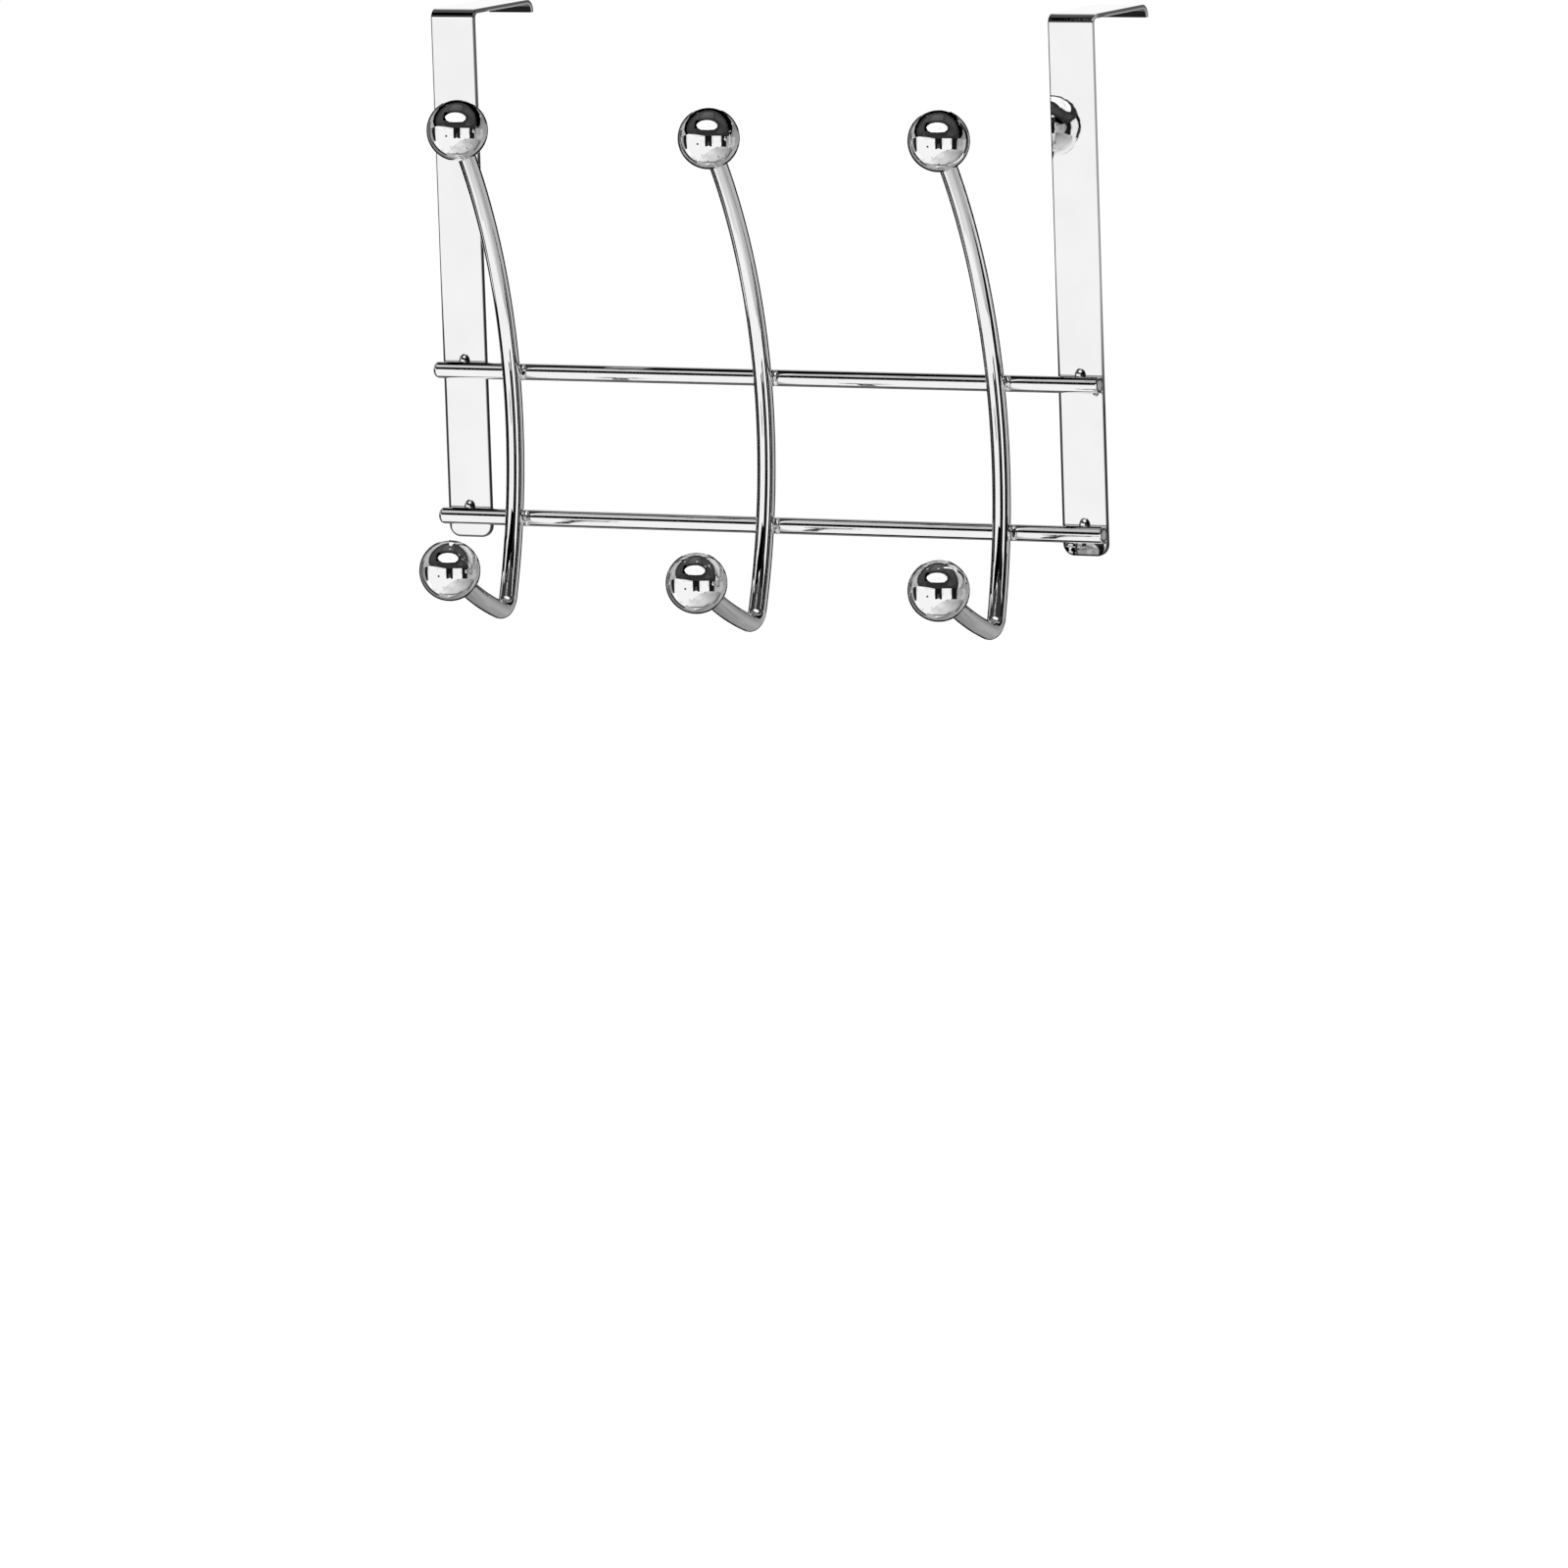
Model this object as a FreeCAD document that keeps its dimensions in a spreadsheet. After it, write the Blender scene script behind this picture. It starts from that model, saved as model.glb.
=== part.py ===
import FreeCAD, Part
import math
import os
import Sketcher

# An over-door hook rack of chrome-plated steel, in millimetres.
# Two flat straps hang over the top of a door. Two round rails are welded across their fronts, and
# three bent wires, each with a ball at both ends, are welded across the rails.
# X runs along the rails, Y goes back into the door and Z is up. The origin is on the front top edge
# of the door, midway between the straps: their backs lie on Y = 0, their tabs' undersides on Z = 0.

# Driving sizes: alias, value, meaning
SIZES = [
    ("strap_spacing", 225.6, "between the middles of the two straps"),
    ("strap_width", 16.0, "width of the flat strap"),
    ("strap_thickness", 1.5, "thickness of the flat strap"),
    ("leg_tail", 7.3, "front leg below the lower rail's axis"),
    ("slot_depth", 38.4, "clear depth for the door, from the leg to the lip"),
    ("lip_drop", 2.9, "how far the lip reaches below the underside of the tab"),
    ("front_bend_radius", 1.6, "inner radius of the bend at the top of the leg"),
    ("rear_bend_radius", 2.4, "inner radius of the bend above the lip"),
    ("leg_corner_radius", 4.0, "rounded corners at the end of the leg"),
    ("strap_edge_radius", 0.25, "broken edges of the strap"),
    ("rail_diameter", 5.5, "diameter of the rails"),
    ("rail_left_overhang", 1.5, "rails' left ends beyond the left strap's outer edge"),
    ("rail_right_overhang", -0.1, "rails' right ends beyond the right strap's outer edge"),
    ("upper_rail_drop", 117.4, "from the underside of the tab down to the upper rail's axis"),
    ("rail_spacing", 48.4, "between the axes of the two rails"),
    ("rail_set_down", 0.3, "how far a weld sinks the rail onto the strap"),
    ("rail_round_end", 1.4, "rounding of the rails' left ends"),
    ("rail_sheared_end", 0.3, "broken edge of the rails' right ends"),
    ("wire_diameter", 6.0, "diameter of the hook wire"),
    ("wire_set_down", 0.8, "how far a weld sinks the hook wire onto a rail"),
    ("stem_radius", 176.0, "radius of the stem's long curve, on the wire's axis"),
    ("stem_top_angle", 33.5, "degrees that the stem turns above its rearmost point"),
    ("stem_low_angle", 16.6, "degrees that the stem turns below its rearmost point"),
    ("hook_bend_radius", 5.1, "radius of the tight bend, on the wire's axis"),
    ("hook_bend_angle", 92.5, "degrees that the wire turns in the tight bend"),
    ("arm_radius", 125.0, "radius of the arm's gentle curve, on the wire's axis"),
    ("arm_angle", 12.4, "degrees that the arm turns further up towards its ball"),
    ("spigot_length", 9.0, "straight end of the wire at each ball"),
    ("ball_diameter", 20.0, "diameter of the balls"),
    ("bore_depth", 8.0, "depth of the ball's blind bore, which the wire's end fills"),
    ("left_hook_inset", 21.0, "left hook to the right of the left strap's middle"),
    ("middle_hook_offset", 1.2, "middle hook to the right of the rack's middle"),
    ("right_hook_inset", 26.6, "right hook to the left of the right strap's middle"),
    ("left_hook_lift", 1.1, "left hook above the middle height of the rails"),
    ("middle_hook_lift", -0.35, "middle hook above the middle height of the rails"),
    ("right_hook_lift", -0.2, "right hook above the middle height of the rails"),
    ("left_hook_lean", 0.85, "degrees that the left hook leans to the right"),
    ("middle_hook_lean", 1.25, "degrees that the middle hook leans to the right"),
    ("right_hook_lean", -0.5, "degrees that the right hook leans to the right"),
    ("left_hook_turn", 0.95, "degrees that the left hook is turned about the vertical"),
    ("middle_hook_turn", -1.55, "degrees that the middle hook is turned about the vertical"),
    ("right_hook_turn", -0.2, "degrees that the right hook is turned about the vertical"),
    ("bead_width", 3.8, "weld bead of a rail on a strap, across"),
    ("bead_height", 2.4, "weld bead above the top of the rail"),
    ("bead_reach", 1.6, "weld bead in front of the strap"),
    ("flash_radius", 1.3, "weld flash beside a hook wire on a rail"),
]

SIDES = ("left", "middle", "right")
FLANKS = (("before", -1), ("after", 1))

# Headings of the wire's axis, seen from the right, in degrees
UP, FORWARD, DOWN = 0, 90, 180

# The wire's curves, from the stem's rearmost point outwards: each has its radius and its turn
STEM_TOP = [("stem_radius", "stem_top_angle")]
STEM_LOW = [("stem_radius", "stem_low_angle"), ("hook_bend_radius", "hook_bend_angle"),
            ("arm_radius", "arm_angle")]

UPPER_DROP = "Sizes.upper_rail_drop"
LOWER_DROP = "Sizes.upper_rail_drop + Sizes.rail_spacing"
LEG_LENGTH = LOWER_DROP + " + Sizes.leg_tail"
RAIL_LENGTH = ("Sizes.strap_spacing + Sizes.strap_width"
               " + Sizes.rail_left_overhang + Sizes.rail_right_overhang")
RAIL_OFFSET = "(Sizes.rail_right_overhang - Sizes.rail_left_overhang) / 2"

# Closest that two places may be and still count as the same
NEAR = 0.01

doc = FreeCAD.newDocument("over_door_hook")
sheet = doc.addObject("Spreadsheet::Sheet", "Sizes")
for row, (alias, value, meaning) in enumerate(SIZES, start=1):
    sheet.set(f"A{row}", meaning)
    sheet.set(f"B{row}", str(value))
    sheet.setAlias(f"B{row}", alias)
doc.recompute()


def size(alias):
    return float(sheet.get(alias))


def leg_length():
    return size("upper_rail_drop") + size("rail_spacing") + size("leg_tail")


def rail_length():
    overhangs = size("rail_left_overhang") + size("rail_right_overhang")
    return size("strap_spacing") + size("strap_width") + overhangs


def hook_place(side):
    half = size("strap_spacing") / 2
    if side == "left":
        return size("left_hook_inset") - half
    if side == "right":
        return half - size("right_hook_inset")
    return size("middle_hook_offset")


# Sketch helpers

def new_sketch(body, name, plane_role):
    plane = next(item for item in body.Origin.OriginFeatures if item.Role == plane_role)
    sketch = body.newObject("Sketcher::SketchObject", name)
    sketch.AttachmentSupport = (plane, [""])
    sketch.MapMode = "FlatFace"
    return sketch


def join(sketch, kind, *places):
    sketch.addConstraint(Sketcher.Constraint(kind, *places))


def drive(sketch, name, formula, kind, *places):
    # The last place is the starting value, which the formula then replaces.
    index = sketch.addConstraint(Sketcher.Constraint(kind, *places))
    sketch.renameConstraint(index, name)
    sketch.setExpression("Constraints." + name, formula)


def flat(across, up):
    return FreeCAD.Vector(across, up, 0)


def line(sketch, start, end):
    return sketch.addGeometry(Part.LineSegment(start, end))


def arc(sketch, centre, radius, first, last):
    circle = Part.Circle(centre, FreeCAD.Vector(0, 0, 1), radius)
    return sketch.addGeometry(Part.ArcOfCircle(circle, math.radians(first), math.radians(last)))


def draw_disc(sketch, formula, radius):
    disc = sketch.addGeometry(Part.Circle(flat(0, 0), FreeCAD.Vector(0, 0, 1), radius))
    join(sketch, "Coincident", disc, 3, -1, 1)
    drive(sketch, "radius", formula, "Radius", disc, radius)


def edges_where(feature, test):
    return [f"Edge{n}" for n, edge in enumerate(feature.Shape.Edges, start=1) if test(edge.BoundBox)]


# Flat straps

def draw_strap_outline(sketch):
    thick, leg = size("strap_thickness"), leg_length()
    deep, lip = size("slot_depth"), size("lip_drop")
    front, rear = size("front_bend_radius"), size("rear_bend_radius")
    front_centre, rear_centre = flat(front, -front), flat(deep - rear, -rear)
    leg_front = line(sketch, flat(-thick, -leg), flat(-thick, -front))
    front_outer = arc(sketch, front_centre, front + thick, 90, 180)
    tab_top = line(sketch, flat(front, thick), flat(deep - rear, thick))
    rear_outer = arc(sketch, rear_centre, rear + thick, 0, 90)
    lip_rear = line(sketch, flat(deep + thick, -rear), flat(deep + thick, -lip))
    lip_end = line(sketch, flat(deep + thick, -lip), flat(deep, -lip))
    lip_front = line(sketch, flat(deep, -lip), flat(deep, -rear))
    rear_inner = arc(sketch, rear_centre, rear, 0, 90)
    tab_under = line(sketch, flat(deep - rear, 0), flat(front, 0))
    front_inner = arc(sketch, front_centre, front, 90, 180)
    leg_back = line(sketch, flat(0, -front), flat(0, -leg))
    leg_end = line(sketch, flat(0, -leg), flat(-thick, -leg))
    join(sketch, "Tangent", leg_front, 2, front_outer, 2)
    join(sketch, "Tangent", front_outer, 1, tab_top, 1)
    join(sketch, "Tangent", tab_top, 2, rear_outer, 2)
    join(sketch, "Tangent", rear_outer, 1, lip_rear, 1)
    join(sketch, "Coincident", lip_rear, 2, lip_end, 1)
    join(sketch, "Coincident", lip_end, 2, lip_front, 1)
    join(sketch, "Tangent", lip_front, 2, rear_inner, 1)
    join(sketch, "Tangent", rear_inner, 2, tab_under, 1)
    join(sketch, "Tangent", tab_under, 2, front_inner, 1)
    join(sketch, "Tangent", front_inner, 2, leg_back, 1)
    join(sketch, "Coincident", leg_back, 2, leg_end, 1)
    join(sketch, "Coincident", leg_end, 2, leg_front, 1)
    join(sketch, "Coincident", front_outer, 3, front_inner, 3)
    join(sketch, "Coincident", rear_outer, 3, rear_inner, 3)
    join(sketch, "Vertical", leg_back)
    join(sketch, "Vertical", lip_front)
    join(sketch, "Horizontal", tab_under)
    join(sketch, "Horizontal", lip_end)
    join(sketch, "Horizontal", leg_end)
    join(sketch, "PointOnObject", leg_back, 1, -2)
    join(sketch, "PointOnObject", tab_under, 1, -1)
    drive(sketch, "thick", "Sizes.strap_thickness", "DistanceX", leg_end, 2, leg_end, 1, thick)
    drive(sketch, "front", "Sizes.front_bend_radius", "Radius", front_inner, front)
    drive(sketch, "rear", "Sizes.rear_bend_radius", "Radius", rear_inner, rear)
    drive(sketch, "deep", "Sizes.slot_depth", "DistanceX", -1, 1, lip_front, 1, deep)
    drive(sketch, "lip", "Sizes.lip_drop", "DistanceY", lip_end, 1, -1, 1, lip)
    drive(sketch, "leg", LEG_LENGTH, "DistanceY", leg_end, 1, -1, 1, leg)


def make_bead(name, centre_x, rail_drop):
    # A weld bead is half an ellipsoid, flat on the strap's front face, and rises above the rail.
    bead = doc.addObject("Part::Ellipsoid", name)
    bead.Angle3 = 180
    bead.Placement.Rotation = FreeCAD.Rotation(FreeCAD.Vector(0, 0, 1), 180)
    bead.setExpression("Radius1", "Sizes.bead_height")
    bead.setExpression("Radius2", "Sizes.bead_width / 2")
    bead.setExpression("Radius3", "Sizes.bead_reach")
    bead.setExpression("Placement.Base.x", centre_x)
    bead.setExpression("Placement.Base.y", "-Sizes.strap_thickness")
    bead.setExpression("Placement.Base.z", f"Sizes.rail_diameter / 2 - ({rail_drop})")
    return bead


def make_strap(label, centre_x):
    strip = doc.addObject("PartDesign::Body", label + "_strip")
    strip.setExpression("Placement.Base.x", centre_x)
    outline = new_sketch(strip, label + "_outline", "YZ_Plane")
    draw_strap_outline(outline)
    pad = strip.newObject("PartDesign::Pad", label + "_pad")
    pad.Profile = outline
    pad.SideType = "Symmetric"
    pad.setExpression("Length", "Sizes.strap_width")
    doc.recompute()

    low = -leg_length()
    low_corners = edges_where(pad, lambda box: box.ZMax - low < NEAR and box.XLength < NEAR)
    corners = strip.newObject("PartDesign::Fillet", label + "_corners")
    corners.Base = (pad, low_corners)
    corners.setExpression("Radius", "Sizes.leg_corner_radius")
    doc.recompute()

    side = size("strap_width") / 2
    side_edges = edges_where(corners, lambda box: box.XLength < NEAR and abs(abs(box.XMin) - side) < NEAR)
    breaks = strip.newObject("PartDesign::Fillet", label + "_broken_edges")
    breaks.Base = (corners, side_edges)
    breaks.setExpression("Radius", "Sizes.strap_edge_radius")

    strap = doc.addObject("Part::MultiFuse", label)
    strap.Shapes = [strip, make_bead(label + "_upper_bead", centre_x, UPPER_DROP),
                    make_bead(label + "_lower_bead", centre_x, LOWER_DROP)]
    return strap


# Hook wires

def heading_vector(heading):
    angle = math.radians(heading)
    return flat(-math.sin(angle), math.cos(angle))


def follow(heading, curves):
    # Every curve bends forward. The result is each curve's centre, heading at its end and end point.
    sense = 1 if heading == UP else -1
    point = flat(0, 0)
    steps = []
    for radius_alias, turn_alias in curves:
        radius = size(radius_alias)
        centre = point + heading_vector(heading + sense * FORWARD) * radius
        heading += sense * size(turn_alias)
        point = centre - heading_vector(heading + sense * FORWARD) * radius
        steps.append((centre, heading, point))
    return steps


def draw_spine(sketch, heading, curves):
    rising = heading == UP
    first, last = (1, 2) if rising else (2, 1)
    previous = None
    for number, ((radius_alias, turn_alias), (centre, end_heading, point)) in enumerate(
            zip(curves, follow(heading, curves)), start=1):
        radius, turn = size(radius_alias), size(turn_alias)
        if rising:
            curve = arc(sketch, centre, radius, heading, end_heading)
        else:
            curve = arc(sketch, centre, radius, end_heading + DOWN, heading + DOWN)
        if previous is None:
            join(sketch, "PointOnObject", curve, 3, -1)
            join(sketch, "Coincident", curve, first, -1, 1)
        else:
            join(sketch, "Tangent", previous, last, curve, first)
        drive(sketch, f"radius_{number}", "Sizes." + radius_alias, "Radius", curve, radius)
        drive(sketch, f"turn_{number}", "Sizes." + turn_alias, "Angle", curve, math.radians(turn))
        heading, previous = end_heading, curve
    length = size("spigot_length")
    spigot = line(sketch, point, point + heading_vector(heading) * length)
    join(sketch, "Tangent", previous, last, spigot, 1)
    drive(sketch, "spigot", "Sizes.spigot_length", "Distance", spigot, length)


def sweep_wire(wire, name, heading, curves):
    section = new_sketch(wire, name + "_section", "XY_Plane")
    draw_disc(section, "Sizes.wire_diameter / 2", size("wire_diameter") / 2)
    spine = new_sketch(wire, name + "_spine", "YZ_Plane")
    draw_spine(spine, heading, curves)
    doc.recompute()
    pipe = wire.newObject("PartDesign::AdditivePipe", name + "_pipe")
    pipe.Profile = section
    pipe.Spine = (spine, [f"Edge{n}" for n in range(1, len(curves) + 2)])
    doc.recompute()


def hook_frame(side):
    # The stem's rearmost point, level with the middle of the two rails, where it is pressed on to both
    half_span = size("rail_spacing") / 2
    sag = size("stem_radius") - math.sqrt(size("stem_radius") ** 2 - half_span ** 2)
    rail_front = size("strap_thickness") + size("rail_diameter") - size("rail_set_down")
    depth = rail_front + size("wire_diameter") / 2 - size("wire_set_down") - sag
    height = size(f"{side}_hook_lift") - size("upper_rail_drop") - half_span
    base = FreeCAD.Vector(hook_place(side), -depth, height)
    return FreeCAD.Placement(base, FreeCAD.Rotation(size(f"{side}_hook_turn"), size(f"{side}_hook_lean"), 0))


def make_hook(side):
    wire = doc.addObject("PartDesign::Body", "hook_" + side)
    sweep_wire(wire, f"hook_{side}_top", UP, STEM_TOP)
    sweep_wire(wire, f"hook_{side}_low", DOWN, STEM_LOW)
    wire.Placement = hook_frame(side)
    return wire


# Balls

def draw_ball_outline(sketch):
    # Half of the ball's section, with half of the blind bore that faces down the axis
    radius, bore = size("ball_diameter") / 2, size("wire_diameter") / 2
    floor = size("bore_depth") - radius
    mouth = -math.sqrt(radius ** 2 - bore ** 2)
    mouth_angle = math.degrees(math.atan2(mouth, bore))
    skin = arc(sketch, flat(0, 0), radius, mouth_angle, 90)
    axis = line(sketch, flat(0, radius), flat(0, floor))
    bore_floor = line(sketch, flat(0, floor), flat(bore, floor))
    bore_wall = line(sketch, flat(bore, floor), flat(bore, mouth))
    join(sketch, "Coincident", skin, 3, -1, 1)
    join(sketch, "PointOnObject", skin, 2, -2)
    join(sketch, "Coincident", skin, 2, axis, 1)
    join(sketch, "PointOnObject", axis, 2, -2)
    join(sketch, "Coincident", axis, 2, bore_floor, 1)
    join(sketch, "Horizontal", bore_floor)
    join(sketch, "Coincident", bore_floor, 2, bore_wall, 1)
    join(sketch, "Vertical", bore_wall)
    join(sketch, "Coincident", bore_wall, 2, skin, 1)
    drive(sketch, "ball", "Sizes.ball_diameter / 2", "Radius", skin, radius)
    drive(sketch, "bore", "Sizes.wire_diameter / 2", "DistanceX", bore_floor, 1, bore_floor, 2, bore)
    drive(sketch, "deep", "Sizes.ball_diameter - Sizes.bore_depth", "Distance", axis, radius - floor)


def make_ball(label, side, heading, curves):
    ball = doc.addObject("PartDesign::Body", label)
    outline = new_sketch(ball, label + "_outline", "XZ_Plane")
    draw_ball_outline(outline)
    turned = ball.newObject("PartDesign::Revolution", label + "_turned")
    turned.Profile = outline
    turned.ReferenceAxis = (outline, ["V_Axis"])
    turned.Angle = 360
    centre, end_heading, point = follow(heading, curves)[-1]
    reach = size("spigot_length") + size("ball_diameter") / 2 - size("bore_depth")
    middle = point + heading_vector(end_heading) * reach
    seat = FreeCAD.Placement(FreeCAD.Vector(0, middle.x, middle.y),
                             FreeCAD.Rotation(FreeCAD.Vector(1, 0, 0), end_heading))
    ball.Placement = hook_frame(side).multiply(seat)
    return ball


# Rails

def make_flash(name, side, sense, height):
    # Weld flash lies beside the wire, where it crosses the rail's front.
    flash = doc.addObject("Part::Sphere", name)
    flash.setExpression("Radius", "Sizes.flash_radius")
    frame = hook_frame(side)
    crossing = frame.multVec(FreeCAD.Vector(sense * size("wire_diameter") / 2, 0, height - frame.Base.z))
    rail_front = size("strap_thickness") + size("rail_diameter") - size("rail_set_down")
    flash.Placement.Base = FreeCAD.Vector(crossing.x, size("wire_set_down") - rail_front, height)
    return flash


def make_rail(label, rail_drop, height, seats):
    bar = doc.addObject("PartDesign::Body", label + "_bar")
    section = new_sketch(bar, label + "_section", "YZ_Plane")
    draw_disc(section, "Sizes.rail_diameter / 2", size("rail_diameter") / 2)
    pad = bar.newObject("PartDesign::Pad", label + "_pad")
    pad.Profile = section
    pad.SideType = "Symmetric"
    pad.setExpression("Length", RAIL_LENGTH)
    doc.recompute()

    end = rail_length() / 2
    rounded = bar.newObject("PartDesign::Fillet", label + "_rounded_end")
    rounded.Base = (pad, edges_where(pad, lambda box: box.XMax + end < NEAR))
    rounded.setExpression("Radius", "Sizes.rail_round_end")
    doc.recompute()
    sheared = bar.newObject("PartDesign::Chamfer", label + "_sheared_end")
    sheared.Base = (rounded, edges_where(rounded, lambda box: end - box.XMin < NEAR))
    sheared.setExpression("Size", "Sizes.rail_sheared_end")
    bar.setExpression("Placement.Base.x", RAIL_OFFSET)
    bar.setExpression("Placement.Base.y",
                      "Sizes.rail_set_down - Sizes.strap_thickness - Sizes.rail_diameter / 2")
    bar.setExpression("Placement.Base.z", f"-({rail_drop})")

    flashes = [make_flash(f"{label}_{side}_flash_{word}", side, sense, height)
               for side in SIDES for word, sense in FLANKS]
    welded = doc.addObject("Part::MultiFuse", label + "_welded")
    welded.Shapes = [bar] + flashes
    rail = doc.addObject("Part::Cut", label)
    rail.Base = welded
    rail.Tool = seats
    return rail


# The rack

straps = [make_strap("strap_left", "-Sizes.strap_spacing / 2"),
          make_strap("strap_right", "Sizes.strap_spacing / 2")]
hooks = [make_hook(side) for side in SIDES]
balls = [make_ball(f"ball_upper_{side}", side, UP, STEM_TOP) for side in SIDES]
balls += [make_ball(f"ball_lower_{side}", side, DOWN, STEM_LOW) for side in SIDES]
seats = doc.addObject("Part::Compound", "rail_seats")
seats.Links = straps + hooks
doc.recompute()
upper_height = -size("upper_rail_drop")
rails = [make_rail("upper_rail", UPPER_DROP, upper_height, seats),
         make_rail("lower_rail", LOWER_DROP, upper_height - size("rail_spacing"), seats)]
doc.recompute()

for item in doc.Objects:
    if "Invalid" in item.State or "Error" in item.State:
        raise RuntimeError(f"{item.Label} failed: {item.State}")
for item in doc.Objects:
    if item.TypeId == "Sketcher::SketchObject" and item.solve() != 0:
        raise RuntimeError(f"{item.Label} isn't solved")

os.makedirs("parts", exist_ok=True)
for piece in straps + rails + hooks + balls:
    solids = piece.Shape.Solids
    if piece.Shape.isNull() or not piece.Shape.isValid() or len(solids) != 1:
        raise RuntimeError(f"{piece.Label} isn't one valid solid")
    solids[0].exportStep(f"parts/{piece.Label}.step")
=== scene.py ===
import math

import bmesh
import bpy
from mathutils import Matrix, Vector, noise


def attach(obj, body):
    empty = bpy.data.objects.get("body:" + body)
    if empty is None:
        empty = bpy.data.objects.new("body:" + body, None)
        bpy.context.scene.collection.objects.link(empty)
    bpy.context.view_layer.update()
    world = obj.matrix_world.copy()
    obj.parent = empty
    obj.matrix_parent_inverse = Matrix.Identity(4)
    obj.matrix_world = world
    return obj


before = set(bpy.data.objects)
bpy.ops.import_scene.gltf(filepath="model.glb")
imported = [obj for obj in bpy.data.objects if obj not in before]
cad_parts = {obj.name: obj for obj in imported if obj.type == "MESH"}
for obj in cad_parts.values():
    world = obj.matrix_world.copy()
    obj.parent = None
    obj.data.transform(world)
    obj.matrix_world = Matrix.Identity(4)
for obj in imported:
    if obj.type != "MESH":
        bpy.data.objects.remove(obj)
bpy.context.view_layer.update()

# Camera, from the photograph's perspective: metres and degrees, and millimetres for sensor and lens
CAMERA_AZIMUTH = 27.5
CAMERA_ELEVATION = 8.308
CAMERA_ROLL = -1.903
CAMERA_TARGET = Vector((-0.000112, 0.0, -0.251709))
CAMERA_DISTANCE = 3.84851
CAMERA_SENSOR = 36.0
CAMERA_LENS = 270.0
CAMERA_NEAR = 0.1
CAMERA_FAR = 60.0


def camera_axes():
    azimuth = math.radians(CAMERA_AZIMUTH)
    elevation = math.radians(CAMERA_ELEVATION)
    roll = math.radians(CAMERA_ROLL)
    back = Vector((math.sin(azimuth) * math.cos(elevation),
                   -math.cos(azimuth) * math.cos(elevation),
                   math.sin(elevation)))
    level = Vector((math.cos(azimuth), math.sin(azimuth), 0))
    rise = back.cross(level)
    right = level * math.cos(roll) + rise * math.sin(roll)
    up = rise * math.cos(roll) - level * math.sin(roll)
    return right, up, back


RIGHT, UP, BACK = camera_axes()


def add_camera():
    data = bpy.data.cameras.new("camera")
    data.sensor_width = CAMERA_SENSOR
    data.lens = CAMERA_LENS
    data.clip_start = CAMERA_NEAR
    data.clip_end = CAMERA_FAR
    camera = bpy.data.objects.new("camera", data)
    bpy.context.scene.collection.objects.link(camera)
    turn = Matrix((RIGHT, UP, BACK)).transposed().to_4x4()
    camera.matrix_world = Matrix.Translation(CAMERA_TARGET + BACK * CAMERA_DISTANCE) @ turn
    bpy.context.scene.camera = camera


# Studio: what the polished metal reflects. Each card is drawn as it shows in a mirror ball seen from
# the front, where the ball's outline is the unit circle, and hangs where such a ball would show it.
STUDIO_CENTRE = Vector((0.0, -0.03, -0.1))


def arc_band(inner, outer, first, last, steps=14):
    # Outline of a bent band about the disc's centre, in degrees from the right, counterclockwise
    turns = [math.radians(first + (last - first) * step / steps) for step in range(steps + 1)]
    far = [(outer * math.cos(turn), outer * math.sin(turn)) for turn in turns]
    near = [(inner * math.cos(turn), inner * math.sin(turn)) for turn in reversed(turns)]
    return far + near


def dot(across, up, radius, steps=8):
    turns = [math.tau * step / steps for step in range(steps)]
    return [(across + radius * math.cos(turn), up + radius * math.sin(turn)) for turn in turns]


# Kinds of part, each by a word in the names of its parts
STRAPS = ("strap",)
RAILS = ("rail",)
STRAPS_AND_RAILS = ("strap", "rail")
BALLS_AND_STRAPS = ("ball", "strap")
ALL_BUT_RAILS = ("ball", "strap", "hook")
ALL_BUT_BALLS = ("strap", "rail", "hook")
ALL_BUT_HOOKS = ("strap", "rail", "ball")
LOWER_BALLS_RAILS_STRAPS = ("ball_lower", "rail", "strap")

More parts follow.
